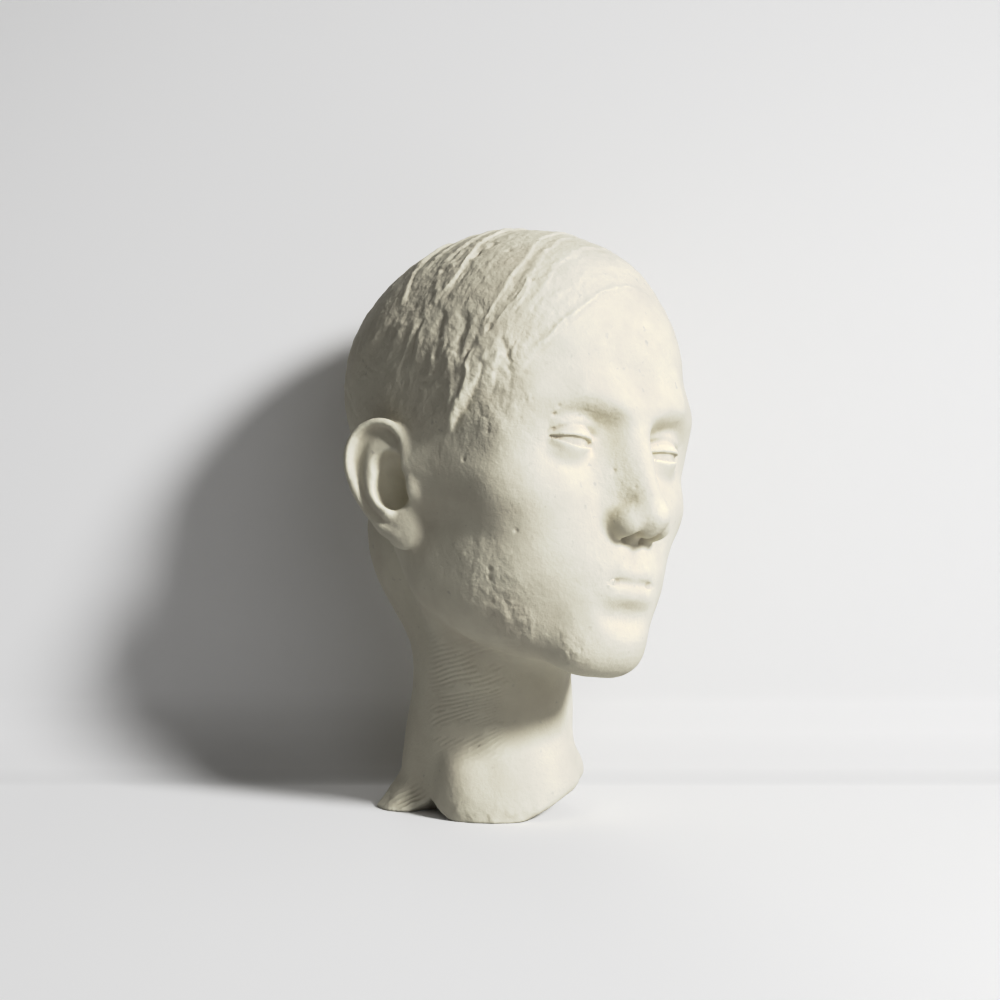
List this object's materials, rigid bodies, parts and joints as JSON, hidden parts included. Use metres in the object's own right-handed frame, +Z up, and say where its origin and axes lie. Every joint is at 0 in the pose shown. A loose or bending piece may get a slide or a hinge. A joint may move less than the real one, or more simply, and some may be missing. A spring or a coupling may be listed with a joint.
{
  "type": "head sculpture",
  "caption": "Life-size plaster head of a youth with hair combed across the brow, cut off flat below the neck.",
  "frame": {"origin": "on the flat underside of the neck, where the sculpture stands, below the middle of the neck", "axes": "+Z up from the underside through the neck to the crown; the face looks towards -Y, and the subject's right is -X"},
  "size_m": [0.1706, 0.2063, 0.2948],
  "materials": {
    "plaster": "matte cast plaster, warm off-white, with modelled tool marks"
  },
  "bodies": {
    "root": {"plaster_head": "plaster"}
  },
  "joints": []
}
